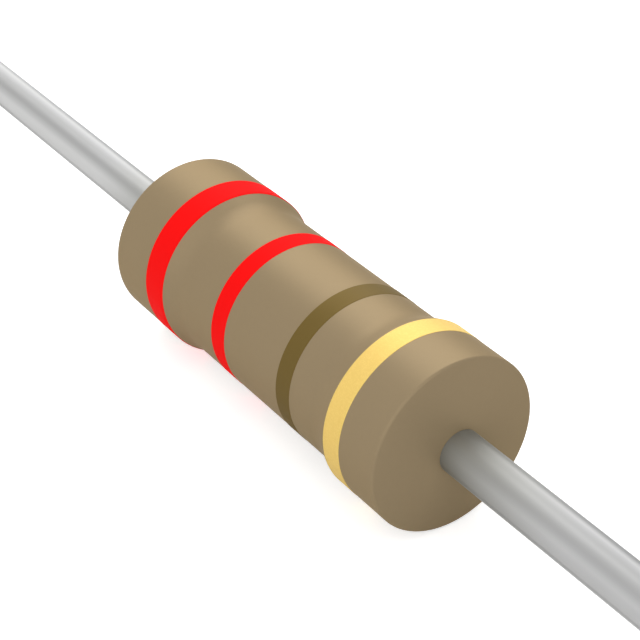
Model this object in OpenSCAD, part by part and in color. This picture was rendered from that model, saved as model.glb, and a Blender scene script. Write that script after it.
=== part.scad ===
// Axial-lead carbon-film resistor with four colour bands, lying along X.
// The origin is the middle of the body, on its axis; Z is up.
// The end with the tolerance band points to +X. All sizes are in millimetres.
// From the axis out: ceramic rod, carbon film with its trimming cut, two pressed end
// caps, two welded wire leads, lacquer coat, colour bands.

/* [Core] */
// Diameter of the ceramic rod
rod_d = 1.7; // [1.4:0.05:2.0]
// Length of the ceramic rod
rod_len = 5.4; // [5.0:0.1:6.0]
// Bevel on the rim of both rod ends
rod_bevel = 0.06; // [0.02:0.01:0.1]

/* [Carbon film] */
// Thickness of the film on the rod
film_t = 0.05; // [0.04:0.01:0.08]
// How far the film stops short of each rod end
film_setback = 0.08; // [0.06:0.01:0.2]
// Turns of the trimming cut round the rod
cut_turns = 3; // [2:0.5:4]
// Advance of the trimming cut in one turn
cut_pitch = 0.9; // [0.6:0.05:1.0]
// Width of the trimming cut, measured along the axis
cut_w = 0.16; // [0.1:0.02:0.3]

/* [End caps] */
// Wall of the pressed cap, which is also the step of the coat's bulge
cap_wall = 0.1; // [0.06:0.01:0.14]
// Thickness of the cap's closed end
cap_base = 0.1; // [0.06:0.01:0.14]
// Length of the cap over all
cap_len = 0.95; // [0.8:0.05:1.1]
// Rounding between the cap's side and its closed end
cap_round = 0.08; // [0.04:0.01:0.12]

/* [Leads] */
// Diameter of the tinned wire
lead_d = 0.59; // [0.5:0.01:0.65]
// Length of each lead outside the body
lead_len = 28; // [20:0.5:32]
// Bevel at the cut tip of a lead
tip_bevel = 0.05; // [0.02:0.01:0.1]
// Diameter of the upset foot that is welded to the cap
foot_d = 0.92; // [0.90:0.02:1.1]
// Thickness of the upset foot
foot_t = 0.1; // [0.08:0.01:0.12]
// Length of the cone from the foot to the wire
foot_cone = 0.11; // [0.1:0.01:0.13]

/* [Coat] */
// Thickness of the lacquer over the film and over the caps
coat_t = 0.205; // [0.16:0.005:0.25]
// Lacquer in front of each cap, measured on the axis
coat_end = 0.35; // [0.3:0.01:0.4]
// Height of the shallow dome on both ends
dome_h = 0.11; // [0.06:0.01:0.15]
// Rounding on the rim of both ends
rim_round = 0.04; // [0.02:0.005:0.06]
// Length of the rear bulge, from the end to where its slope begins
rear_bulge_len = 1.338; // [1.2:0.002:1.4]
// Length of the front bulge, from the end to where its slope begins
front_bulge_len = 1.115; // [1.0:0.005:1.2]
// Angle of the slope between bulge and waist
slope_angle = 20; // [14:1:28]
// Rounding on the crest of the slope
crest_round = 0.06; // [0.02:0.01:0.2]
// Hollow rounding at the foot of the slope
hollow_round = 0.8; // [0.3:0.1:1.0]

/* [Bands] */
// Thickness of the paint
paint_t = 0.012; // [0.008:0.002:0.03]
// Start of the first band, measured from the rear end
band_1_from = 0.927; // [0.8:0.001:1.0]
// Width of the first band, the widest of the four
band_1_w = 0.437; // [0.3:0.001:0.5]
// Start of the second band, measured from the rear end
band_2_from = 2.463; // [2.3:0.001:2.6]
// Width of the second band
band_2_w = 0.316; // [0.2:0.001:0.4]
// Start of the third band, measured from the rear end
band_3_from = 4; // [3.8:0.01:4.2]
// Width of the third band
band_3_w = 0.298; // [0.2:0.001:0.4]
// Start of the tolerance band, measured from the rear end
band_4_from = 5.185; // [5.1:0.005:5.3]
// Width of the tolerance band
band_4_w = 0.326; // [0.2:0.001:0.4]

/* [Hidden] */
$fn = 96;
// Radii from the axis out
rod_r = rod_d / 2;
film_r = rod_r + film_t;
cap_r = film_r + cap_wall;
wire_r = lead_d / 2;
foot_r = foot_d / 2;
waist_r = film_r + coat_t;
bulge_r = cap_r + coat_t;
// Places along the axis, from the middle out
rod_half = rod_len / 2;
film_half = rod_half - film_setback;
cap_top = rod_half + cap_base;
cap_open = cap_top - cap_len;
foot_top = cap_top + foot_t + foot_cone;
body_half = cap_top + coat_end;
tip = body_half + lead_len;
rear_crest = body_half - rear_bulge_len;
front_crest = body_half - front_bulge_len;
// The film has flat facets, so it keeps this much clear of the rod, the caps and the coat
film_ease = 0.002;
film_sides = 60;
film_in = (rod_r + film_ease) / cos(180 / film_sides);
film_out = film_r - film_ease;
cut_steps = round(film_sides * cut_turns);
cut_start = -cut_pitch * cut_turns / 2;
// The hollow of the slope is held to what the step of the bulge leaves for it
slope_step = bulge_r - waist_r;
slope_room = slope_step / (1 - cos(slope_angle)) - crest_round - 0.05;
hollow_r = min(hollow_round, slope_room);
slope_drop = slope_step - (crest_round + hollow_r) * (1 - cos(slope_angle));
slope_run = slope_drop / tan(slope_angle);

// Outer profile of the coat as [place along the axis, radius]

// The dome from the lead outwards, without its last point
dome_lean = atan(2 * dome_h / (bulge_r - rim_round - wire_r));
dome_r = bulge_r - rim_round * (1 - sin(dome_lean));
function dome(n) = [
    for (i = [0 : n - 1])
        [body_half - dome_h * pow(i / n, 2), wire_r + (dome_r - wire_r) * i / n]
];

// The rim from the dome round to the straight side
rim_z = body_half - dome_h - rim_round * cos(dome_lean);
rim_turn = 90 - dome_lean;
function rim(n) = [
    for (i = [0 : n])
        let (q = rim_turn * (1 - i / n))
        [rim_z + rim_round * sin(q), bulge_r - rim_round * (1 - cos(q))]
];

// The slope from the crest down to the waist
function crest(at, n) = [
    for (i = [0 : n])
        let (q = slope_angle * i / n)
        [at - crest_round * sin(q), bulge_r - crest_round * (1 - cos(q))]
];
function hollow(at, n) = [
    for (i = [0 : n])
        let (q = slope_angle * (1 - i / n))
        [at - hollow_r * (sin(slope_angle) - sin(q)), waist_r + hollow_r * (1 - cos(q))]
];
function slope(at) = concat(
    crest(at, 4),
    hollow(at - crest_round * sin(slope_angle) - slope_run, 10)
);

// Half a profile, from the lead in to the waist
function half_skin(at) = concat(dome(14), rim(6), slope(at));

// Turns a half profile round to the other end, so that it runs on
function mirrored(p) = [for (q = p) [-q[0], q[1]]];
function backwards(p) = [for (i = [len(p) - 1 : -1 : 0]) p[i]];
skin = concat(mirrored(half_skin(rear_crest)), backwards(half_skin(front_crest)));
function skin_r(x) = lookup(x, skin);

// Cap, foot and wire seen from outside, as radius and place along the axis, from the cap's
// open end out to the tip of the dome
function cap_corner(n) = [
    for (i = [0 : n])
        let (q = 90 * i / n)
        [cap_r - cap_round * (1 - cos(q)), cap_top - cap_round * (1 - sin(q))]
];
function foot_side() = [
    [foot_r, cap_top],
    [foot_r, cap_top + foot_t],
    [wire_r, foot_top]
];
function lining() = concat(
    [[film_r, cap_open], [cap_r, cap_open]],
    cap_corner(6),
    foot_side(),
    [[wire_r, body_half]]
);

// Lays what is turned about Z along X
module along_x() {
    rotate([0, 90, 0])
        children();
}

// Lays a piece for the front end along X, or turns it round to the rear end
module at_end(front) {
    rotate([0, front ? 90 : -90, 0])
        children();
}

// Ceramic rod

module ceramic_rod() {
    color("ivory")
        along_x()
            rotate_extrude()
                polygon([
                    [0, -rod_half],
                    [rod_r - rod_bevel, -rod_half],
                    [rod_r, -rod_half + rod_bevel],
                    [rod_r, rod_half - rod_bevel],
                    [rod_r - rod_bevel, rod_half],
                    [0, rod_half]
                ]);
}

// Carbon film: a sleeve with a trimming cut that winds round it like a thread.
// The skin is laid out on straight lines along the axis; the cut crosses each line
// once a turn, and its two edges run on from line to line.

// Where crossing number m of the cut lies along the axis
function cut_at(m) = cut_start + cut_pitch * m / film_sides;

// Numbers of the crossings on line j
function crossings(j) = [for (m = [j : film_sides : cut_steps]) m];

// Points of line j, from one end of the sleeve to the other
function places(j) = concat(
    [-film_half],
    [for (m = crossings(j)) each [cut_at(m) - cut_w / 2, cut_at(m) + cut_w / 2]],
    [film_half]
);
function line_points(j, r) = [
    for (z = places(j))
        [r * cos(360 * j / film_sides), r * sin(360 * j / film_sides), z]
];

// Number of the first point of every line
function size_of(j) = 2 + 2 * len(crossings(j));
function firsts(j = 0, n = 0, out = []) =
    j == film_sides ? concat(out, [n]) : firsts(j + 1, n + size_of(j), concat(out, [n]));
film_firsts = firsts();
film_total = film_firsts[film_sides];

// Number of point k of line j, on the outer skin or on the inner one
function point_no(j, k, inner) =
    film_firsts[j % film_sides] + k + (inner ? film_total : 0);

// Triangles between the left points lb to lt and the right points rb to rt of one strip
function patch(j, lb, lt, rb, rt, inner) = [
    for (i = [lb : 1 : lt - 1])
        let (a = point_no(j, i, inner), b = point_no(j, i + 1, inner))
        let (c = point_no(j + 1, rb, inner))
        inner ? [a, c, b] : [a, b, c],
    for (i = [rb : 1 : rt - 1])
        let (a = point_no(j, lt, inner), b = point_no(j + 1, i, inner))
        let (c = point_no(j + 1, i + 1, inner))
        inner ? [a, b, c] : [a, c, b]
];

// The strip between line j and the next one, which the cut parts into patches
function strip(j, inner) =
    let (n = len([for (m = crossings(j)) if (m + 1 <= cut_steps) m]))
    let (h = j == film_sides - 1 ? 1 : 0)
    let (last_l = size_of(j) - 1)
    let (last_r = size_of((j + 1) % film_sides) - 1)
    [
        for (i = [0 : n])
            let (lt = i == n ? last_l : 1 + 2 * i)
            let (rb = i == 0 ? 0 : 2 * (i + h))
            let (rt = i == n ? last_r : 1 + 2 * (i + h))
            each patch(j, 2 * i, lt, rb, rt, inner)
    ];

// Two triangles for four points
function quad(a, b, c, d) = [[a, b, c], [a, c, d]];

// A piece of wall from the outer skin to the inner one, between two points
function wall(j1, k1, j2, k2) = quad(
    point_no(j1, k1, false),
    point_no(j2, k2, false),
    point_no(j2, k2, true),
    point_no(j1, k1, true)
);

// Both flanks of the cut, its two ends and the two ends of the sleeve
function flanks() = [
    for (m = [0 : cut_steps - 1])
        let (j1 = m % film_sides, n1 = floor(m / film_sides))
        let (j2 = (m + 1) % film_sides, n2 = floor((m + 1) / film_sides))
        each concat(
            wall(j2, 1 + 2 * n2, j1, 1 + 2 * n1),
            wall(j1, 2 + 2 * n1, j2, 2 + 2 * n2)
        )
];
function cut_ends() =
    let (j = cut_steps % film_sides, n = floor(cut_steps / film_sides))
    concat(wall(0, 1, 0, 2), wall(j, 2 + 2 * n, j, 1 + 2 * n));
function sleeve_ends() = [
    for (j = [0 : film_sides - 1])
        each concat(
            wall(j, 0, j + 1, 0),
            wall(j + 1, size_of((j + 1) % film_sides) - 1, j, size_of(j) - 1)
        )
];

module carbon_film() {
    skins = [for (inner = [false, true]) for (j = [0 : film_sides - 1]) each strip(j, inner)];
    color("dimgray")
        along_x()
            polyhedron(
                points = [
                    for (r = [film_out, film_in])
                        for (j = [0 : film_sides - 1])
                            each line_points(j, r)
                ],
                faces = concat(skins, flanks(), cut_ends(), sleeve_ends())
            );
}

// Pressed end caps

module end_cap(front) {
    color("silver")
        at_end(front)
            rotate_extrude()
                polygon(concat(
                    [[0, rod_half], [film_r, rod_half], [film_r, cap_open], [cap_r, cap_open]],
                    cap_corner(6),
                    [[0, cap_top]]
                ));
}

// Wire leads, each with the foot that is welded to its cap

module lead(front) {
    color("lightgray")
        at_end(front)
            rotate_extrude()
                polygon(concat(
                    [[0, cap_top]],
                    foot_side(),
                    [
                        [wire_r, tip - tip_bevel],
                        [wire_r - tip_bevel, tip],
                        [0, tip]
                    ]
                ));
}

// Lacquer coat: a turned skin outside, and inside it follows film, caps, feet and wires

module coat() {
    outside = [for (p = skin) [p[1], p[0]]];
    front_lining = lining();
    rear_lining = [for (p = front_lining) [p[0], -p[1]]];
    // The skin already holds the points where it meets the wires
    inside = concat(
        [for (i = [len(front_lining) - 2 : -1 : 0]) front_lining[i]],
        [for (i = [0 : len(rear_lining) - 2]) rear_lining[i]]
    );
    color("tan")
        along_x()
            rotate_extrude()
                polygon(concat(outside, inside));
}

// Colour bands: a thin ring of paint that follows the skin of the coat

module band(from, width, paint) {
    a = from - body_half;
    b = a + width;
    stations = concat([a], [for (p = skin) if (p[0] > a + 0.001 && p[0] < b - 0.001) p[0]], [b]);
    n = len(stations) - 1;
    color(paint)
        along_x()
            rotate_extrude()
                polygon(concat(
                    [for (x = stations) [skin_r(x), x]],
                    [for (i = [n : -1 : 0]) [skin_r(stations[i]) + paint_t, stations[i]]]
                ));
}

// Nodes

ceramic_rod();
carbon_film();
end_cap(false);  // end_cap_rear
end_cap(true);  // end_cap_front
lead(false);  // lead_rear
lead(true);  // lead_front
coat();
band(band_1_from, band_1_w, "red");  // band_1
band(band_2_from, band_2_w, "red");  // band_2
band(band_3_from, band_3_w, "saddlebrown");  // band_3
band(band_4_from, band_4_w, "gold");  // band_4
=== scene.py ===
"""Axial resistor: a dog-bone body in tan lacquer with four painted colour bands, and a
tinned wire lead out of each end.

Sizes are in millimetres, as in the part's source, and become metres where a mesh is made;
only the camera's place is in metres.
X runs along the leads towards the end with the gold band, and Z is up.
"""

import logging
import math
from dataclasses import dataclass, field
from enum import Enum
from typing import ClassVar

import bpy
from mathutils import Matrix, Vector


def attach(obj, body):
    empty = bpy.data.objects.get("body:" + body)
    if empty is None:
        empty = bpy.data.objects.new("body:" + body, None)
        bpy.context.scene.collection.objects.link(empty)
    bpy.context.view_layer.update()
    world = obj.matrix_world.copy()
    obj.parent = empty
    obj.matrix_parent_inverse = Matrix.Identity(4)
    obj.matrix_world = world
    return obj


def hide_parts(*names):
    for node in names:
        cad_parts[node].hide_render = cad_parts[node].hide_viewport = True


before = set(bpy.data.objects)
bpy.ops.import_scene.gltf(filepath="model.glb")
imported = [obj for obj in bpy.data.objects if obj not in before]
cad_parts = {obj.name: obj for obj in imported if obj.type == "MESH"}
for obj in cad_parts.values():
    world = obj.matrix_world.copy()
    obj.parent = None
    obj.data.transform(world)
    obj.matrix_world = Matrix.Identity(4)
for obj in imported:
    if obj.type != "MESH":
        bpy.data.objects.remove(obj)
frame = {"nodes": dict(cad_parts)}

Point = tuple[float, float]
Triple = tuple[float, float, float]
Piece = bpy.types.Object
Socket = bpy.types.NodeSocket
# Sockets of a finish's colour, of the mask that sets its gloss, and of its relief
Look = tuple[object, Socket, Socket]

VALUE, COLOUR, VECTOR = "NodeSocketFloat", "NodeSocketColor", "NodeSocketVector"
MM = 0.001
BODY = "root"
MERGE_REACH = 1e-7
CORNER_ANGLE = math.radians(38)
SHORTEST_STRETCH = 4  # in reaches: a shorter stretch gets no points of its own
NOISE_MIDDLE = 0.5

log = logging.getLogger("axial_resistor")


class End(Enum):
    """The two ends of the part, by the way that they point along X."""

    REAR = -1
    FRONT = 1


class Tree:
    """A node tree while it is being built."""

    def __init__(self, nodes: bpy.types.NodeTree) -> None:
        """Takes the tree to build in.

        Args:
            nodes: an empty shader or geometry node tree.
        """
        self.tree = nodes

    def add(self, kind: str, feeds: dict | None = None, **settings: object) -> bpy.types.Node:
        """Adds a node.

        Args:
            kind: the node's type name.
            feeds: for each input, by name or number, the socket that feeds it or its value.
            **settings: the node's own settings, such as an operation.

        Returns:
            The new node.
        """
        node = self.tree.nodes.new(kind)
        for name, value in settings.items():
            setattr(node, name, value)
        for key, value in (feeds or {}).items():
            self.feed(node.inputs[key], value)
        return node

    def feed(self, socket: Socket, value: object) -> None:
        """Feeds an input.

        Args:
            socket: the input.
            value: the socket to link it to, or its own value.
        """
        if isinstance(value, Socket):
            self.tree.links.new(value, socket)
        else:
            socket.default_value = value

    def maths(self, operation: str, first: object, second: object = 0.0) -> Socket:
        """Adds a Math node.

        Args:
            operation: the node's operation.
            first: the first socket or number.
            second: the second socket or number.

        Returns:
            The result's socket.
        """
        kind = "ShaderNodeMath"
        return self.add(kind, {0: first, 1: second}, operation=operation).outputs[0]

    def blend(self, share: object, low: object, high: object) -> Socket:
        """Mixes two colours.

        Args:
            share: how much of the second colour, from 0 to 1.
            low: the colour or socket at 0.
            high: the colour or socket at 1.

        Returns:
            The mixed colour's socket.
        """
        node = self.add("ShaderNodeMix", data_type="RGBA")
        for name, value in {"Factor": share, "A": low, "B": high}.items():
            self.feed(next(s for s in node.inputs if s.name == name and s.enabled), value)
        return next(s for s in node.outputs if s.enabled)

    def between(self, share: object, low: float, high: float) -> Socket:
        """Spreads a mask from 0 to 1 over a range.

        Args:
            share: the mask's socket.
            low: the value at 0.
            high: the value at 1.

        Returns:
            The spread value's socket.
        """
        feeds = {"Value": share, "To Min": low, "To Max": high}
        return self.add("ShaderNodeMapRange", feeds).outputs[0]


def node_group(name: str, kind: str, inputs: dict, outputs: dict) -> tuple[Tree, dict, dict]:
    """Makes a node group with named sockets.

    Args:
        name: the group's name.
        kind: ShaderNodeTree or GeometryNodeTree.
        inputs: each input's name with its socket type and first value, or None for none.
        outputs: each output's name with its socket type.

    Returns:
        The tree to build in, the sockets that the inputs give, and the sockets that the
        outputs take.
    """
    tree = bpy.data.node_groups.new(name, kind)
    for label, (socket_type, value) in inputs.items():
        socket = tree.interface.new_socket(label, in_out="INPUT", socket_type=socket_type)
        if value is not None:
            socket.default_value = value
    for label, socket_type in outputs.items():
        tree.interface.new_socket(label, in_out="OUTPUT", socket_type=socket_type)
    given = tree.nodes.new("NodeGroupInput").outputs
    taken = tree.nodes.new("NodeGroupOutput").inputs
    return Tree(tree), {n: given[n] for n in inputs}, {n: taken[n] for n in outputs}


# Outlines and the trees that turn them


@dataclass(frozen=True)
class Section:
    """The outline of a turned piece: places along X, each with a radius or a height."""

    points: tuple[Point, ...]

    def mirrored(self) -> "Section":
        """Returns the outline turned to the other end, which still runs towards +X."""
        return Section(tuple((-x, r) for x, r in reversed(self.points)))

    def followed_by(self, other: "Section") -> "Section":
        """Returns this outline with another one behind it."""
        return Section(self.points + other.points)

    def closed(self) -> "Section":
        """Returns the outline with its first point once more at its end."""
        return Section(self.points + self.points[:1])

    def eased(self, reach: float, stride: float) -> "Section":
        """Adds points to straight stretches, so that smooth shading leaves them straight.

        Args:
            reach: how far from each corner the outermost new points lie.
            stride: the longest step between two points.

        Returns:
            The outline with the points added.
        """
        out = [self.points[0]]
        for start, stop in zip(self.points, self.points[1:]):
            length = math.dist(start, stop)
            places = []
            if length > SHORTEST_STRETCH * reach:
                steps = max(1, math.ceil((length - 2 * reach) / stride))
                places = [reach + (length - 2 * reach) * i / steps for i in range(steps + 1)]
            for place in places + [length]:
                share = place / length if length else 0.0
                out.append(tuple(a + (b - a) * share for a, b in zip(start, stop)))
        return Section(tuple(out))

    def guide(self, name: str) -> Piece:
        """Makes a mesh of loose points that a tree can read.

        Args:
            name: the object's name.

        Returns:
            The object, with each point at (place, 0, radius) in metres.
        """
        mesh = bpy.data.meshes.new(name)
        mesh.from_pydata([(x * MM, 0.0, r * MM) for x, r in self.points], [], [])
        guide = bpy.data.objects.new(name, mesh)
        bpy.context.scene.collection.objects.link(guide)
        return guide


def quarter_turn(steps: int) -> list[float]:
    """Returns the angles of a quarter turn from 0, in radians."""
    return [math.radians(90 * i / steps) for i in range(steps + 1)]


class Turning:
    """Geometry Nodes tree that turns an outline about X into a closed skin."""

    NAME: ClassVar[str] = "turned skin"
    INPUTS: ClassVar[dict] = {
        "Outline": ("NodeSocketObject", None),
        "Sides": ("NodeSocketInt", 96),
        "First Angle": (VALUE, 0.0),
        "Finish": ("NodeSocketMaterial", None),
    }

    def __init__(self) -> None:
        """Builds the tree."""
        build, given, taken = node_group(
            self.NAME, "GeometryNodeTree", self.INPUTS, {"Geometry": "NodeSocketGeometry"}
        )
        self.tree = build.tree
        outline, sheet, angle = self.rolled_sheet(build, given)
        feeds = {"Geometry": sheet, "Position": self.places(build, given, outline, angle)}
        placed = build.add("GeometryNodeSetPosition", feeds)
        self.finish(build, placed.outputs[0], given, taken)

    @staticmethod
    def places(build: Tree, given: dict, outline: object, angle: object) -> Socket:
        """Adds what turns the outline to the place of each sheet point.

        Args:
            build: the tree to build in.
            given: the group's inputs.
            outline: the outline's point for each sheet point, as a socket or vector.
            angle: the socket of the angle of each sheet point.

        Returns:
            The places' socket.
        """
        feeds = {"Vector": outline, "Angle": angle}
        return build.add("ShaderNodeVectorRotate", feeds, rotation_type="X_AXIS").outputs[0]

    @staticmethod
    def rolled_sheet(build: Tree, given: dict) -> tuple[Socket, ...]:
        """Adds the sheet that is rolled up: a row for each outline point, a column for each side.

        Args:
            build: the tree to build in.
            given: the group's inputs.

        Returns:
            Sockets of the outline's point for each sheet point, of the sheet, and of the
            angle of each sheet point.
        """
        shown = build.add("GeometryNodeObjectInfo", {"Object": given["Outline"]})
        outline = shown.outputs["Geometry"]
        rows = build.add("GeometryNodeAttributeDomainSize", {"Geometry": outline})
        columns = build.maths("ADD", given["Sides"], 1.0)
        sheet = build.add(
            "GeometryNodeMeshGrid",
            {"Vertices X": rows.outputs["Point Count"], "Vertices Y": columns},
        )
        number = build.add("GeometryNodeInputIndex").outputs[0]
        # Half a step on, so that rounding can't put a point in the row before its own
        middle = build.maths("ADD", number, 0.5)
        row = build.maths("FLOOR", build.maths("DIVIDE", middle, columns))
        column = build.maths("SUBTRACT", number, build.maths("MULTIPLY", row, columns))
        place = build.add("GeometryNodeInputPosition").outputs[0]
        point = build.add(
            "GeometryNodeSampleIndex",
            {"Geometry": outline, "Index": row},
            data_type="FLOAT_VECTOR",
        )
        value = next(s for s in point.inputs if s.name == "Value" and s.enabled)
        build.tree.links.new(place, value)
        step = build.maths("DIVIDE", math.tau, given["Sides"])
        angle = build.maths("ADD", build.maths("MULTIPLY", column, step), given["First Angle"])
        return point.outputs[0], sheet.outputs["Mesh"], angle

    @staticmethod
    def finish(build: Tree, mesh: Socket, given: dict, taken: dict) -> None:
        """Adds what closes a rolled sheet, shades it and gives it its finish.

        Args:
            build: the tree to build in.
            mesh: the rolled sheet's socket.
            given: the group's inputs.
            taken: the group's outputs.
        """
        joined = build.add(
            "GeometryNodeMergeByDistance", {"Geometry": mesh, "Distance": MERGE_REACH}
        )
        outward = build.add("GeometryNodeFlipFaces", {"Mesh": joined.outputs[0]})
        smooth = build.add("GeometryNodeSetShadeSmooth", {"Geometry": outward.outputs[0]})
        bend = build.add("GeometryNodeInputMeshEdgeAngle").outputs["Unsigned Angle"]
        sharp = build.add(
            "GeometryNodeSetShadeSmooth",
            {
                "Geometry": smooth.outputs[0],
                "Selection": build.maths("GREATER_THAN", bend, CORNER_ANGLE),
                "Shade Smooth": False,
            },
            domain="EDGE",
        )
        real = build.add("GeometryNodeRealizeInstances", {"Geometry": sharp.outputs[0]})
        dressed = build.add(
            "GeometryNodeSetMaterial",
            {"Geometry": real.outputs[0], "Material": given["Finish"]},
        )
        build.tree.links.new(dressed.outputs[0], taken["Geometry"])

    def make(self, name: str, section: Section, **values: object) -> Piece:
        """Makes a plain mesh object with the tree.

        Args:
            name: the piece's name.
            section: its outline.
            **values: the tree's other inputs, with _ for a space.

        Returns:
            The piece, at the origin, with no modifier left on it.
        """
        guide = section.guide(f"{name}_outline")
        piece = bpy.data.objects.new(name, bpy.data.meshes.new(name))
        bpy.context.scene.collection.objects.link(piece)
        modifier = piece.modifiers.new(self.NAME, "NODES")
        modifier.node_group = self.tree
        wanted = {"Outline": guide} | {n.replace("_", " "): v for n, v in values.items()}
        for item in self.tree.interface.items_tree:
            if item.item_type == "SOCKET" and item.in_out == "INPUT":
                usual = getattr(item, "default_value", None)
                modifier[item.identifier] = wanted.get(item.name, usual)
        depsgraph = bpy.context.evaluated_depsgraph_get()
        mesh = bpy.data.meshes.new_from_object(piece.evaluated_get(depsgraph), depsgraph=depsgraph)
        piece.modifiers.clear()
        piece.data = mesh
        mesh.name = name
        bpy.data.objects.remove(guide)
        return piece


class Wrapping(Turning):
    """Geometry Nodes tree that wraps a strip of paint round the coat.

    The outline's heights are lifts above the skin of the coat, which each point finds by
    a ray from outside to the axis.
    """

    NAME: ClassVar[str] = "wrapped strip"
    INPUTS: ClassVar[dict] = Turning.INPUTS | {
        "Carrier": ("NodeSocketObject", None),
        "Ray Length": (VALUE, 3 * MM),
    }

    @staticmethod
    def places(build: Tree, given: dict, outline: object, angle: object) -> Socket:
        """Adds what lays the outline on the coat at each sheet point.

        Args:
            build: the tree to build in.
            given: the group's inputs.
            outline: the socket of the outline's point for each sheet point.
            angle: the socket of the angle of each sheet point.

        Returns:
            The places' socket.
        """
        parts = build.add("ShaderNodeSeparateXYZ", {0: outline}).outputs
        outer = build.add("ShaderNodeCombineXYZ", {"X": parts["X"], "Z": given["Ray Length"]})
        start = Turning.places(build, given, outer.outputs[0], angle)
        inward = Turning.places(build, given, (0.0, 0.0, -1.0), angle)
        carrier = build.add("GeometryNodeObjectInfo", {"Object": given["Carrier"]})
        ray = build.add(
            "GeometryNodeRaycast",
            {
                "Target Geometry": carrier.outputs["Geometry"],
                "Source Position": start,
                "Ray Direction": inward,
                "Ray Length": given["Ray Length"],
            },
        )
        height = build.maths("MULTIPLY", parts["Z"], -1.0)
        lift = build.add("ShaderNodeVectorMath", {0: inward, "Scale": height}, operation="SCALE")
        feeds = {0: ray.outputs["Hit Position"], 1: lift.outputs[0]}
        return build.add("ShaderNodeVectorMath", feeds, operation="ADD").outputs[0]


# Effects that several finishes share


class Effect:
    """A shader node group that is built once and placed in each finish that uses it."""

    NAME: ClassVar[str]
    INPUTS: ClassVar[dict]
    OUTPUTS: ClassVar[dict]

    @classmethod
    def place(cls, build: Tree, feeds: dict) -> bpy.types.Node:
        """Places the effect in a material.

        Args:
            build: the material's tree.
            feeds: the values or sockets of the effect's inputs.

        Returns:
            The group node.
        """
        tree = bpy.data.node_groups.get(cls.NAME)
        if tree is None:
            inner, given, taken = node_group(cls.NAME, "ShaderNodeTree", cls.INPUTS, cls.OUTPUTS)
            for name, socket in cls.fill(inner, given).items():
                inner.feed(taken[name], socket)
            tree = inner.tree
        return build.add("ShaderNodeGroup", feeds, node_tree=tree)

    @staticmethod
    def fill(build: Tree, given: dict) -> dict:
        """Builds the inside of the group.

        Args:
            build: the group's tree.
            given: the sockets that its inputs give.

        Returns:
            The socket that feeds each output, by name.
        """
        raise NotImplementedError


class PaintFilm(Effect):
    """The slight unevenness of a paint or lacquer film: soft clouds and a fine grain."""

    NAME = "paint film"
    INPUTS = {
        "Vector": (VECTOR, None),
        "Colour": (COLOUR, (0.5, 0.5, 0.5, 1.0)),
        "Cloud Amount": (VALUE, 0.05),
        "Cloud Scale": (VALUE, 900.0),
        "Grain Amount": (VALUE, 0.03),
        "Grain Scale": (VALUE, 18000.0),
    }
    OUTPUTS = {"Colour": COLOUR, "Cloud": VALUE, "Height": VALUE}
    DETAIL: ClassVar[dict] = {"Cloud": 2.0, "Grain": 3.0}

    @staticmethod
    def fill(build: Tree, given: dict) -> dict:
        """Builds the inside of the group.

        Args:
            build: the group's tree.
            given: the sockets that its inputs give.

        Returns:
            The socket that feeds each output, by name.
        """
        noise = {}
        for label, detail in PaintFilm.DETAIL.items():
            feeds = {"Vector": given["Vector"], "Scale": given[f"{label} Scale"], "Detail": detail}
            noise[label] = build.add("ShaderNodeTexNoise", feeds).outputs["Fac"]
        level = 1.0
        for label, value in noise.items():
            centred = build.maths("SUBTRACT", value, NOISE_MIDDLE)
            centred = build.maths("MULTIPLY", centred, 1 / NOISE_MIDDLE)
            swing = build.maths("MULTIPLY", centred, given[f"{label} Amount"])
            level = build.maths("ADD", swing, level)
        shaded = build.add(
            "ShaderNodeVectorMath", {0: given["Colour"], "Scale": level}, operation="SCALE"
        )
        return {"Colour": shaded.outputs[0], "Cloud": noise["Cloud"], "Height": noise["Grain"]}


class DrawingMarks(Effect):
    """Long soft streaks and fine scratches that run along X, as a drawing die leaves them."""

    NAME = "drawing marks"
    INPUTS = {
        "Vector": (VECTOR, None),
        "Light Colour": (COLOUR, (0.7, 0.7, 0.7, 1.0)),
        "Dark Colour": (COLOUR, (0.4, 0.4, 0.4, 1.0)),
        "Streak Length": (VECTOR, (60.0, 3600.0, 3600.0)),
        "Scratch Length": (VECTOR, (500.0, 24000.0, 24000.0)),
        "Scratch Amount": (VALUE, 0.2),
    }
    OUTPUTS = {"Colour": COLOUR, "Streak": VALUE, "Height": VALUE}
    DETAIL: ClassVar[dict] = {"Streak": 1.0, "Scratch": 3.0}
    STREAK_RANGE: ClassVar[dict] = {"From Min": 0.36, "From Max": 0.64}

    @staticmethod
    def fill(build: Tree, given: dict) -> dict:
        """Builds the inside of the group.

        Args:
            build: the group's tree.
            given: the sockets that its inputs give.

        Returns:
            The socket that feeds each output, by name.
        """
        noise = {}
        for label, detail in DrawingMarks.DETAIL.items():
            stretched = build.add(
                "ShaderNodeVectorMath",
                {0: given["Vector"], 1: given[f"{label} Length"]},
                operation="MULTIPLY",
            )
            feeds = {"Vector": stretched.outputs[0], "Scale": 1.0, "Detail": detail}
            noise[label] = build.add("ShaderNodeTexNoise", feeds).outputs["Fac"]
        feeds = {"Value": noise["Streak"]} | DrawingMarks.STREAK_RANGE
        streak = build.add("ShaderNodeMapRange", feeds, interpolation_type="SMOOTHSTEP")
        scratch = build.maths("SUBTRACT", noise["Scratch"], NOISE_MIDDLE)
        scratch = build.maths("MULTIPLY", scratch, given["Scratch Amount"])
        share = build.add("ShaderNodeMath", {0: streak.outputs[0], 1: scratch}, use_clamp=True)
        shaded = build.blend(share.outputs[0], given["Light Colour"], given["Dark Colour"])
        return {"Colour": shaded, "Streak": streak.outputs[0], "Height": noise["Scratch"]}


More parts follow.
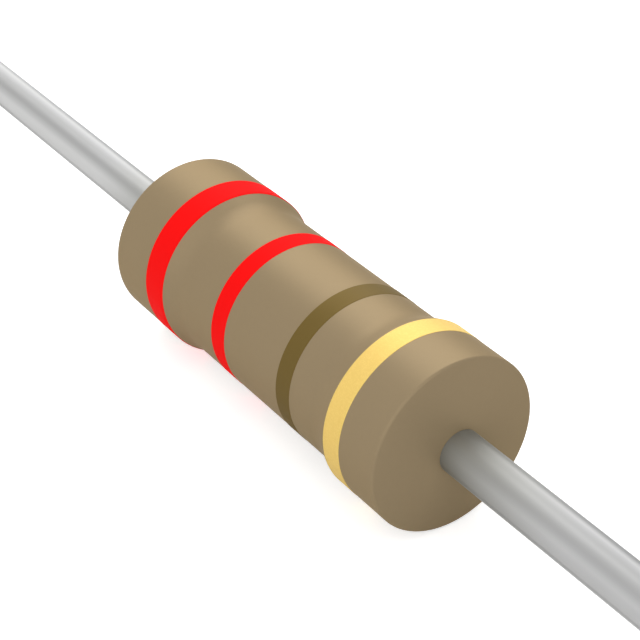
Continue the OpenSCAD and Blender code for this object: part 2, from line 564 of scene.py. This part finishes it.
class Grains(Effect):
    """Small grains, each with its own shade: flakes in metal paint, crystals in ceramic."""

    NAME = "grains"
    INPUTS = {
        "Vector": (VECTOR, None),
        "Colour": (COLOUR, (0.5, 0.5, 0.5, 1.0)),
        "Grain Colour": (COLOUR, (0.8, 0.8, 0.8, 1.0)),
        "Scale": (VALUE, 20000.0),
        "Share": (VALUE, 0.3),
    }
    OUTPUTS = {"Colour": COLOUR, "Grain": VALUE}

    @staticmethod
    def fill(build: Tree, given: dict) -> dict:
        """Builds the inside of the group.

        Args:
            build: the group's tree.
            given: the sockets that its inputs give.

        Returns:
            The socket that feeds each output, by name.
        """
        feeds = {name: given[name] for name in ("Vector", "Scale")}
        cells = build.add("ShaderNodeTexVoronoi", feeds)
        shade = build.add("ShaderNodeSeparateColor", {0: cells.outputs["Color"]}).outputs[0]
        low = build.maths("SUBTRACT", 1.0, given["Share"])
        feeds = {"Value": shade, "From Min": low, "From Max": 1.0}
        grain = build.add("ShaderNodeMapRange", feeds).outputs[0]
        shaded = build.blend(grain, given["Colour"], given["Grain Colour"])
        return {"Colour": shaded, "Grain": grain}


class PaintedStreakMask(Effect):
    """One soft stripe along X at a set turn round a wire: the mask by which dark stripes of painted
    shade and painted reflection are laid on it.
    """

    NAME = "roller track"
    INPUTS = {
        "Vector": (VECTOR, None),
        "Turn": (VALUE, 0.0),
        "Half Width": (VALUE, 0.3),
    }
    OUTPUTS = {"Track": VALUE}

    @staticmethod
    def fill(build: Tree, given: dict) -> dict:
        """Builds the inside of the group.

        Args:
            build: the group's tree.
            given: the sockets that its inputs give.

        Returns:
            The socket that feeds each output, by name.
        """
        parts = build.add("ShaderNodeSeparateXYZ", {0: given["Vector"]}).outputs
        near = build.maths("MULTIPLY", parts["Y"], -1.0)
        turn = build.maths("ARCTAN2", near, parts["Z"])
        apart = build.maths("SUBTRACT", turn, given["Turn"])
        wrapped = build.add("ShaderNodeMath", {0: apart, 1: math.pi, 2: -math.pi}, operation="WRAP")
        away = build.maths("ABSOLUTE", wrapped.outputs[0])
        feeds = {"Value": build.maths("DIVIDE", away, given["Half Width"])}
        feeds |= {"From Min": 1.0, "From Max": 0.0}
        painted_streak = build.add("ShaderNodeMapRange", feeds, interpolation_type="SMOOTHSTEP")
        return {"Track": painted_streak.outputs[0]}


# Finishes


def with_alpha(tone: Triple) -> tuple[float, ...]:
    """Returns a colour with full opacity behind it."""
    return (*tone, 1.0)


@dataclass(frozen=True)
class Finish:
    """What every finish has: a name, a gloss, and a shader that its effects feed.

    The roughness runs between two values with the effects' mask, the relief is in
    millimetres, the tint colours the shine, and dustiness flattens the shading.
    """

    name: str
    colour: Triple
    roughness: tuple[float, float] = (0.45, 0.55)
    metallic: float = 0.0
    specular: float = 0.5
    relief: float = 0.0
    tint: Triple = (1.0, 1.0, 1.0)
    dustiness: float = 0.0

    def material(self) -> bpy.types.Material:
        """Makes the material.

        Returns:
            The material, with its shader fed by the finish's own effects.
        """
        material = bpy.data.materials.new(self.name)
        material.use_nodes = True
        material.node_tree.nodes.clear()
        build = Tree(material.node_tree)
        place = build.add("ShaderNodeTexCoord").outputs["Object"]
        colour, mask, height = self.effects(build, place)
        shader = build.add(
            "ShaderNodeBsdfPrincipled",
            {
                "Base Color": colour,
                "Roughness": build.between(mask, *self.roughness),
                "Metallic": self.metallic,
                "Specular IOR Level": self.specular,
                "Specular Tint": with_alpha(self.tint),
                "Diffuse Roughness": self.dustiness,
            },
        )
        if self.relief:
            feeds = {"Height": height, "Distance": self.relief * MM, "Strength": 1.0}
            bump = build.add("ShaderNodeBump", feeds)
            build.feed(shader.inputs["Normal"], bump.outputs[0])
        build.add("ShaderNodeOutputMaterial", {"Surface": shader.outputs[0]})
        material.diffuse_color = with_alpha(self.colour)
        return material

    def effects(self, build: Tree, place: Socket) -> Look:
        """Adds the effects that make the finish.

        Args:
            build: the material's tree.
            place: the socket of the object coordinates.

        Returns:
            The finish's look.
        """
        raise NotImplementedError


@dataclass(frozen=True)
class Paint(Finish):
    """Lacquer or band paint: one colour with soft clouds and a fine grain."""

    clouds: float = 0.03
    cloud_scale: float = 700.0
    grain: float = 0.02
    grain_scale: float = 16000.0

    def effects(self, build: Tree, place: Socket) -> Look:
        """Adds the film.

        Args:
            build: the material's tree.
            place: the socket of the object coordinates.

        Returns:
            The finish's look.
        """
        film = PaintFilm.place(
            build,
            {
                "Vector": place,
                "Colour": with_alpha(self.colour),
                "Cloud Amount": self.clouds,
                "Cloud Scale": self.cloud_scale,
                "Grain Amount": self.grain,
                "Grain Scale": self.grain_scale,
            },
        )
        return film.outputs["Colour"], film.outputs["Cloud"], film.outputs["Height"]


@dataclass(frozen=True)
class FlakePaint(Paint):
    """Band paint with metal flakes in it."""

    flake_colour: Triple = (0.85, 0.605, 0.18)
    flake_scale: float = 70000.0
    flake_share: float = 0.5

    def effects(self, build: Tree, place: Socket) -> Look:
        """Adds the film and the flakes.

        Args:
            build: the material's tree.
            place: the socket of the object coordinates.

        Returns:
            The finish's look.
        """
        colour, cloud, height = super().effects(build, place)
        flakes = Grains.place(
            build,
            {
                "Vector": place,
                "Colour": colour,
                "Grain Colour": with_alpha(self.flake_colour),
                "Scale": self.flake_scale,
                "Share": self.flake_share,
            },
        )
        return flakes.outputs["Colour"], cloud, height


@dataclass(frozen=True)
class DrawnMetal(Finish):
    """Tinned metal with the marks of drawing or pressing."""

    dark_colour: Triple = (0.4, 0.4, 0.4)
    streaks: Triple = (45.0, 3200.0, 3200.0)
    scratches: Triple = (500.0, 26000.0, 26000.0)
    scratch_amount: float = 0.35

    def effects(self, build: Tree, place: Socket) -> Look:
        """Adds the marks.

        Args:
            build: the material's tree.
            place: the socket of the object coordinates.

        Returns:
            The finish's look.
        """
        marks = DrawingMarks.place(
            build,
            {
                "Vector": place,
                "Light Colour": with_alpha(self.colour),
                "Dark Colour": with_alpha(self.dark_colour),
                "Streak Length": self.streaks,
                "Scratch Length": self.scratches,
                "Scratch Amount": self.scratch_amount,
            },
        )
        return marks.outputs["Colour"], marks.outputs["Streak"], marks.outputs["Height"]


@dataclass(frozen=True)
class Track:
    """A dark stripe painted along the wire: its angle from +Z towards -Y and half width in degrees,
    and its depth.

    The depth is the share by which the stripe's middle is darker than the bare wire. The stripe on
    the top is painted shade that dims the lamp's highlight there, and the others are painted
    reflection streaks.
    """

    turn: float
    half_width: float
    depth: float


@dataclass(frozen=True)
class TinnedWire(DrawnMetal):
    """Tinned wire with dark stripes along it at set turns, which are painted shade over the top's
    highlight and painted reflection streaks, and with painted shade where it leaves the body.
    """

    # dark stripes at set turns: painted shade that dims the lamp's highlight on the top, and
    # painted reflection streaks
    painted_streaks: tuple[Track, ...] = (
        Track(12.0, 42.0, 0.44),
        Track(43.0, 26.0, 0.28),
        Track(-29.0, 22.0, 0.46),
        Track(109.0, 13.0, 0.25),
        Track(-75.0, 24.0, 0.35),
        Track(-128.0, 14.0, 0.25),
        Track(166.0, 20.0, 0.3),
    )
    # painted shade on the wire by the body: its colour, where it starts, how far it reaches and how
    # fast it fades
    painted_shade_colour: Triple = (0.30, 0.30, 0.275)
    painted_shade_start: float = 3.15
    painted_shade_reach: float = 2.2
    painted_shade_falloff: float = 1.4

    def effects(self, build: Tree, place: Socket) -> Look:
        """Adds the marks, the stripes of painted shade and painted reflection, and the painted
        shade by the body.

        Args:
            build: the material's tree.
            place: the socket of the object coordinates.

        Returns:
            The finish's look.
        """
        colour, mask, height = super().effects(build, place)
        level = 1.0
        # each stripe darkens the wire: painted shade and painted reflection streaks
        for painted_streak in self.painted_streaks:
            feeds = {
                "Vector": place,
                "Turn": math.radians(painted_streak.turn),
                "Half Width": math.radians(painted_streak.half_width),
            }
            share = PaintedStreakMask.place(build, feeds).outputs["Track"]
            level = build.maths("SUBTRACT", level, build.maths("MULTIPLY", share, painted_streak.depth))
        shaded = build.add("ShaderNodeVectorMath", {0: colour, "Scale": level}, operation="SCALE")
        return self.with_painted_shade(build, place, shaded.outputs[0]), mask, height

    def with_painted_shade(self, build: Tree, place: Socket, colour: Socket) -> Socket:
        """Adds painted shade that darkens the wire towards the body, where the body shades it.

        Args:
            build: the material's tree.
            place: the socket of the object coordinates.
            colour: the socket of the wire's own colour.

        Returns:
            The socket of the colour with the painted shade.
        """
        # painted shade: the wire grows darker towards the body, as shade falls there
        along = build.add("ShaderNodeSeparateXYZ", {0: place}).outputs["X"]
        out = build.maths("SUBTRACT", build.maths("ABSOLUTE", along), self.painted_shade_start * MM)
        share = build.maths("DIVIDE", out, self.painted_shade_reach * MM)
        left = build.add("ShaderNodeMath", {0: 1.0, 1: share}, operation="SUBTRACT", use_clamp=True)
        painted_shade = build.maths("POWER", left.outputs[0], self.painted_shade_falloff)
        return build.blend(painted_shade, colour, with_alpha(self.painted_shade_colour))


@dataclass(frozen=True)
class Grained(Finish):
    """A solid that is made of grains, such as fired ceramic or deposited carbon."""

    grain_colour: Triple = (0.9, 0.9, 0.9)
    grain_scale: float = 30000.0
    grain_share: float = 0.5

    def effects(self, build: Tree, place: Socket) -> Look:
        """Adds the grains.

        Args:
            build: the material's tree.
            place: the socket of the object coordinates.

        Returns:
            The finish's look.
        """
        grains = Grains.place(
            build,
            {
                "Vector": place,
                "Colour": with_alpha(self.colour),
                "Grain Colour": with_alpha(self.grain_colour),
                "Scale": self.grain_scale,
                "Share": self.grain_share,
            },
        )
        return grains.outputs["Colour"], grains.outputs["Grain"], grains.outputs["Grain"]


# Sub-assemblies


@dataclass(frozen=True)
class Core:
    """The resistive core under the coat: ceramic rod, carbon film and two pressed caps."""

    film_r: float = 0.90
    cap_r: float = 1.00
    cap_open: float = 1.85
    cap_top: float = 2.80
    cap_round: float = 0.08
    corner_steps: int = 6
    ceramic: Finish = Grained("fired ceramic", (0.80, 0.77, 0.70), (0.6, 0.75))
    carbon: Finish = Grained(
        "carbon film", (0.02, 0.02, 0.022), (0.35, 0.5), grain_colour=(0.05, 0.05, 0.055)
    )
    cap_metal: Finish = DrawnMetal(
        "tinned cap steel", (0.62, 0.62, 0.60), (0.3, 0.42), metallic=1.0, relief=0.001
    )

    def dress(self, nodes: dict) -> None:
        """Gives the core's solids their finishes.

        Args:
            nodes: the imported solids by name.
        """
        cap_metal = self.cap_metal.material()
        finishes = {
            "ceramic_rod": self.ceramic.material(),
            "carbon_film": self.carbon.material(),
            "end_cap_rear": cap_metal,
            "end_cap_front": cap_metal,
        }
        for name, material in finishes.items():
            slots = nodes[name].material_slots
            if not slots:
                nodes[name].data.materials.append(material)
            for slot in slots:
                slot.material = material
            log.info("%s: finish %s", name, material.name)

    def cap_side(self) -> Section:
        """Returns the cap's outside from its open end to the edge of its flat base."""
        bend = quarter_turn(self.corner_steps)
        corner = tuple(
            (
                self.cap_top - self.cap_round * (1 - math.sin(q)),
                self.cap_r - self.cap_round * (1 - math.cos(q)),
            )
            for q in bend
        )
        return Section(((self.cap_open, self.film_r), (self.cap_open, self.cap_r)) + corner)


@dataclass(frozen=True)
class Lead:
    """A tinned wire lead with the upset foot that is welded to its cap."""

    end: End
    wire_r: float = 0.295
    length: float = 28.0
    tip_bevel: float = 0.05
    foot_r: float = 0.46
    foot_t: float = 0.10
    foot_cone: float = 0.11
    sides: int = 96
    corner_reach: float = 0.004
    ring_step: float = 0.5

    def foot_side(self, cap_top: float) -> Section:
        """Returns the foot's side, from the cap to where the bare wire begins."""
        return Section(
            (
                (cap_top, self.foot_r),
                (cap_top + self.foot_t, self.foot_r),
                (cap_top + self.foot_t + self.foot_cone, self.wire_r),
            )
        )

    def outline(self, core: Core, body_half: float) -> Section:
        """Draws the whole lead.

        Args:
            core: the core that the lead is welded to.
            body_half: half the length of the coated body.

        Returns:
            The outline, from the foot's middle to the tip's middle.
        """
        tip = body_half + self.length
        start = Section(((core.cap_top, 0.0),))
        wire = Section(
            ((tip - self.tip_bevel, self.wire_r), (tip, self.wire_r - self.tip_bevel), (tip, 0.0))
        )
        whole = start.followed_by(self.foot_side(core.cap_top)).followed_by(wire)
        whole = whole.eased(self.corner_reach, self.ring_step)
        return whole if self.end is End.FRONT else whole.mirrored()

    def build(
        self, turning: Turning, core: Core, body_half: float, finish: bpy.types.Material
    ) -> Piece:
        """Builds the lead.

        Args:
            turning: the tree that turns outlines.
            core: the core that the lead is welded to.
            body_half: half the length of the coated body.
            finish: the wire's material.

        Returns:
            The finished piece.
        """
        name = f"lead_{self.end.name.lower()}"
        section = self.outline(core, body_half)
        piece = turning.make(f"{name}_wire", section, Sides=self.sides, Finish=finish)
        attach(piece, BODY)
        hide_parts(name)
        log.info("%s: %d faces", piece.name, len(piece.data.polygons))
        return piece


@dataclass(frozen=True)
class Coat:
    """The lacquer coat: a dog-bone skin outside, and the core's own form inside."""

    body_half: float = 3.15
    waist_r: float = 1.105
    bulge_r: float = 1.205
    dome_h: float = 0.11
    rim_round: float = 0.04
    rear_bulge: float = 1.338
    front_bulge: float = 1.115
    slope_angle: float = 20.0
    crest_round: float = 0.06
    hollow_round: float = 0.8
    hollow_spare: float = 0.05
    sides: int = 160
    dome_steps: int = 20
    rim_steps: int = 8
    crest_steps: int = 6
    hollow_steps: int = 18
    corner_reach: float = 0.012
    ring_step: float = 0.3
    lacquer: Finish = Paint(
        "tan lacquer",
        (0.324, 0.248, 0.149),
        (0.43, 0.51),
        metallic=0.32,
        specular=0.02,
        relief=0.0006,
        tint=(0.45, 0.34, 0.2),
        dustiness=1.0,
        clouds=0.02,
    )

    def dome(self, wire_r: float) -> list[Point]:
        """Returns the domed end from the wire outwards, without its last point."""
        reach, steps = self.dome_rim_r(wire_r) - wire_r, self.dome_steps
        return [
            (self.body_half - self.dome_h * (i / steps) ** 2, wire_r + reach * i / steps)
            for i in range(steps)
        ]

    def lean(self, wire_r: float) -> float:
        """Returns how far the dome leans where it meets the rim, in radians."""
        return math.atan(2 * self.dome_h / (self.bulge_r - self.rim_round - wire_r))

    def dome_rim_r(self, wire_r: float) -> float:
        """Returns the radius at which the dome ends and the rim begins."""
        return self.bulge_r - self.rim_round * (1 - math.sin(self.lean(wire_r)))

    def rim(self, wire_r: float) -> list[Point]:
        """Returns the rounded rim from the dome to the straight side."""
        lean, steps = self.lean(wire_r), self.rim_steps
        centre = self.body_half - self.dome_h - self.rim_round * math.cos(lean)
        turns = [(math.pi / 2 - lean) * (1 - i / steps) for i in range(steps + 1)]
        return [
            (
                centre + self.rim_round * math.sin(q),
                self.bulge_r - self.rim_round * (1 - math.cos(q)),
            )
            for q in turns
        ]

    def slope(self, crest: float) -> list[Point]:
        """Draws the slope from a bulge down to the waist.

        Args:
            crest: where the bulge's straight side ends.

        Returns:
            The slope's points, from the crest to the waist.
        """
        angle = math.radians(self.slope_angle)
        step = self.bulge_r - self.waist_r
        room = step / (1 - math.cos(angle)) - self.crest_round - self.hollow_spare
        hollow = min(self.hollow_round, room)
        drop = step - (self.crest_round + hollow) * (1 - math.cos(angle))
        foot = crest - self.crest_round * math.sin(angle) - drop / math.tan(angle)
        over = [angle * i / self.crest_steps for i in range(self.crest_steps + 1)]
        under = [angle * (1 - i / self.hollow_steps) for i in range(self.hollow_steps + 1)]
        top = [
            (
                crest - self.crest_round * math.sin(q),
                self.bulge_r - self.crest_round * (1 - math.cos(q)),
            )
            for q in over
        ]
        bottom = [
            (
                foot - hollow * (math.sin(angle) - math.sin(q)),
                self.waist_r + hollow * (1 - math.cos(q)),
            )
            for q in under
        ]
        return top + bottom

    def outline(self, core: Core, lead: Lead) -> Section:
        """Draws the coat's skin and lining.

        Args:
            core: the core that the lining follows.
            lead: a lead, whose foot and wire the lining follows.

        Returns:
            The closed outline.
        """
        ends = self.dome(lead.wire_r) + self.rim(lead.wire_r)
        halves = {}
        for end, bulge in ((End.REAR, self.rear_bulge), (End.FRONT, self.front_bulge)):
            points = ends + self.slope(self.body_half - bulge)
            halves[end] = Section(tuple(reversed(points)))
        skin = halves[End.REAR].mirrored().followed_by(halves[End.FRONT])
        lining = core.cap_side().followed_by(lead.foot_side(core.cap_top))
        front = Section(tuple(reversed(lining.points)))
        rear = Section(tuple((-x, r) for x, r in lining.points))
        whole = skin.followed_by(front).followed_by(rear).closed()
        return whole.eased(self.corner_reach, self.ring_step)

    def build(self, turning: Turning, core: Core, lead: Lead) -> Piece:
        """Builds the coat.

        Args:
            turning: the tree that turns outlines.
            core: the core inside it.
            lead: a lead, whose foot and wire the lining follows.

        Returns:
            The finished piece.
        """
        finish = self.lacquer.material()
        section = self.outline(core, lead)
        piece = turning.make("coat_lacquer", section, Sides=self.sides, Finish=finish)
        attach(piece, BODY)
        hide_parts("coat")
        log.info("%s: %d faces", piece.name, len(piece.data.polygons))
        return piece


class BandColour(Enum):
    """The paints of the colour code."""

    RED = Paint(
        "red band paint", (0.93, 0.007, 0.007), (0.5, 0.6), specular=0.012, relief=0.0004
    )
    BROWN = Paint(
        "brown band paint",
        (0.155, 0.105, 0.030),
        (0.48, 0.56),
        metallic=0.25,
        specular=0.02,
        relief=0.0004,
        clouds=0.05,
    )
    GOLD = FlakePaint(
        "gold band paint",
        (0.80, 0.56, 0.155),
        (0.48, 0.56),
        metallic=0.25,
        specular=0.06,
        relief=0.0004,
        clouds=0.05,
    )


@dataclass(frozen=True)
class Band:
    """One painted ring of the colour code."""

    node: str
    slot: str
    colour: BandColour
    start: float
    width: float
    thickness: float = 0.004
    lip: float = 0.006
    lip_steps: int = 5
    corner_reach: float = 0.006
    ring_step: float = 0.05
    sides: int = 160

    def outline(self, body_half: float) -> Section:
        """Draws the ring's cut: up one rounded lip, along, down the other and back beneath.

        Args:
            body_half: half the length of the coated body, which places are measured from.

        Returns:
            The closed outline, as places along X and lifts above the coat.
        """
        first = self.start - body_half
        last = first + self.width
        up = [
            (first + self.lip * (1 - math.cos(q)), self.thickness * math.sin(q))
            for q in quarter_turn(self.lip_steps)
        ]
        down = [(first + last - x, lift) for x, lift in reversed(up)]
        return Section(tuple(up + down)).closed().eased(self.corner_reach, self.ring_step)

    def build(
        self,
        wrapping: Wrapping,
        coat: Piece,
        body_half: float,
        paint: bpy.types.Material,
    ) -> Piece:
        """Builds the band.

        Args:
            wrapping: the tree that wraps strips round the coat.
            coat: the finished coat.
            body_half: half the length of the coated body.
            paint: the band's material.

        Returns:
            The finished piece.
        """
        piece = wrapping.make(
            f"{self.node}_paint",
            self.outline(body_half),
            Sides=self.sides,
            First_Angle=math.pi / self.sides,
            Finish=paint,
            Carrier=coat,
        )
        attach(piece, BODY)
        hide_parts(self.node)
        log.info("%s: %d faces", piece.name, len(piece.data.polygons))
        return piece


@dataclass(frozen=True)
class ColourCode:
    """The four bands, from the rear end to the front end."""

    bands: tuple[Band, ...] = (
        Band("band_1", "paint_red_first", BandColour.RED, 0.927, 0.437),
        Band("band_2", "paint_red_second", BandColour.RED, 2.463, 0.316),
        Band("band_3", "paint_brown", BandColour.BROWN, 4.0, 0.298),
        Band("band_4", "paint_gold", BandColour.GOLD, 5.185, 0.326),
    )

    def build(self, wrapping: Wrapping, coat: Piece, body_half: float) -> None:
        """Builds the bands.

        Args:
            wrapping: the tree that wraps strips round the coat.
            coat: the finished coat.
            body_half: half the length of the coated body.
        """
        paints = {colour: colour.value.material() for colour in BandColour}
        for band in self.bands:
            band.build(wrapping, coat, body_half, paints[band.colour])


# Studio


@dataclass(frozen=True)
class Lamp:
    """A soft distant lamp."""

    name: str
    azimuth: float
    elevation: float
    strength: float
    spread: float

    def build(self) -> None:
        """Builds the lamp, which shines from its azimuth and elevation to the origin."""
        light = bpy.data.lights.new(self.name, "SUN")
        light.energy = self.strength
        light.angle = math.radians(self.spread)
        lamp = bpy.data.objects.new(self.name, light)
        side, height = math.radians(self.azimuth), math.radians(self.elevation)
        source = Vector(
            (
                math.sin(side) * math.cos(height),
                -math.cos(side) * math.cos(height),
                math.sin(height),
            )
        )
        lamp.rotation_euler = source.to_track_quat("Z", "Y").to_euler()
        bpy.context.scene.collection.objects.link(lamp)


@dataclass(frozen=True)
class Studio:
    """White surroundings, a pale floor just under the body, soft lamps and the camera."""

    ambient: float = 0.5
    floor_level: float = -1.225
    floor_half: float = 600.0
    floor_tone: float = 0.88
    floor_lift: float = 0.6
    floor_mirrored_lift: float = 0.04
    lamps: tuple[Lamp, ...] = (
        Lamp("rear softbox", 238.5, 39.0, 1.8, 52.0),
        Lamp("front fill", 36.0, 35.0, 1.5, 115.0),
    )
    camera_place: Triple = (0.016156, -0.010951, 0.012740)
    camera_ahead: Triple = (-0.6931, 0.4763, -0.5411)
    camera_up: Triple = (-0.4460, 0.3065, 0.8410)
    lens: float = 99.82
    sensor: float = 36.0
    nearest: float = 0.5
    farthest: float = 10000.0

    def build(self) -> None:
        """Builds the whole studio."""
        self.build_world()
        self.build_floor()
        for lamp in self.lamps:
            lamp.build()
        self.build_camera()
        bpy.context.scene.view_settings.view_transform = "Standard"
        log.info("studio: %d lamps", len(self.lamps))

    def build_world(self) -> None:
        """Builds a world that lights evenly and looks white where it is seen or mirrored."""
        world = bpy.data.worlds.new("studio")
        bpy.context.scene.world = world
        world.use_nodes = True
        world.node_tree.nodes.clear()
        build = Tree(world.node_tree)
        path = build.add("ShaderNodeLightPath").outputs
        seen = build.maths("MAXIMUM", path["Is Camera Ray"], path["Is Glossy Ray"])
        seen = build.maths("MAXIMUM", seen, path["Is Transmission Ray"])
        strength = build.between(seen, self.ambient, 1.0)
        feeds = {"Color": (1.0, 1.0, 1.0, 1.0), "Strength": strength}
        white = build.add("ShaderNodeBackground", feeds)
        build.add("ShaderNodeOutputWorld", {"Surface": white.outputs[0]})

    def build_floor(self) -> None:
        """Builds the floor, which stays white beside the object's shadow."""
        half, level = self.floor_half * MM, self.floor_level * MM
        mesh = bpy.data.meshes.new("floor")
        corners = [(-half, -half), (half, -half), (half, half), (-half, half)]
        mesh.from_pydata([(x, y, level) for x, y in corners], [], [(0, 1, 2, 3)])
        floor = bpy.data.objects.new("floor", mesh)
        bpy.context.scene.collection.objects.link(floor)
        material = bpy.data.materials.new("pale floor")
        material.use_nodes = True
        material.node_tree.nodes.clear()
        build = Tree(material.node_tree)
        path = build.add("ShaderNodeLightPath").outputs
        seen = build.maths("MULTIPLY", path["Is Camera Ray"], self.floor_lift)
        mirrored = build.maths("MAXIMUM", path["Is Glossy Ray"], path["Is Transmission Ray"])
        mirrored = build.maths("MULTIPLY", mirrored, self.floor_mirrored_lift)
        lift = build.maths("ADD", seen, mirrored)
        matt = build.add("ShaderNodeBsdfDiffuse", {"Color": with_alpha((self.floor_tone,) * 3)})
        glow = build.add("ShaderNodeEmission", {"Strength": lift})
        both = build.add("ShaderNodeAddShader", {0: matt.outputs[0], 1: glow.outputs[0]})
        build.add("ShaderNodeOutputMaterial", {"Surface": both.outputs[0]})
        mesh.materials.append(material)

    def build_camera(self) -> None:
        """Builds the camera at the photograph's viewpoint."""
        data = bpy.data.cameras.new("camera")
        data.sensor_width = self.sensor
        data.lens = self.lens
        data.clip_start = self.nearest * MM
        data.clip_end = self.farthest * MM
        camera = bpy.data.objects.new("camera", data)
        ahead = Vector(self.camera_ahead).normalized()
        right = ahead.cross(Vector(self.camera_up)).normalized()
        up = right.cross(ahead)
        turn = Matrix((right, up, -ahead)).transposed()
        camera.matrix_world = Matrix.Translation(self.camera_place) @ turn.to_4x4()
        bpy.context.scene.collection.objects.link(camera)
        bpy.context.scene.camera = camera


@dataclass(frozen=True)
class Resistor:
    """The whole part."""

    core: Core = field(default_factory=Core)
    coat: Coat = field(default_factory=Coat)
    leads: tuple[Lead, ...] = (Lead(End.REAR), Lead(End.FRONT))
    colour_code: ColourCode = field(default_factory=ColourCode)
    wire_metal: Finish = TinnedWire(
        "tinned wire", (0.58, 0.58, 0.575), (0.56, 0.66), metallic=1.0, dark_colour=(0.5, 0.5, 0.5)
    )

    def build(self) -> None:
        """Builds the part from the core out."""
        turning = Turning()
        self.core.dress(frame["nodes"])
        wire = self.wire_metal.material()
        for lead in self.leads:
            lead.build(turning, self.core, self.coat.body_half, wire)
        coat = self.coat.build(turning, self.core, self.leads[0])
        self.colour_code.build(Wrapping(), coat, self.coat.body_half)


def main() -> None:
    """Builds the studio and the part, in order."""
    logging.basicConfig(level=logging.INFO, format="%(name)s: %(message)s")
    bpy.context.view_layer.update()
    Studio().build()
    Resistor().build()


if __name__ == "__main__":
    main()
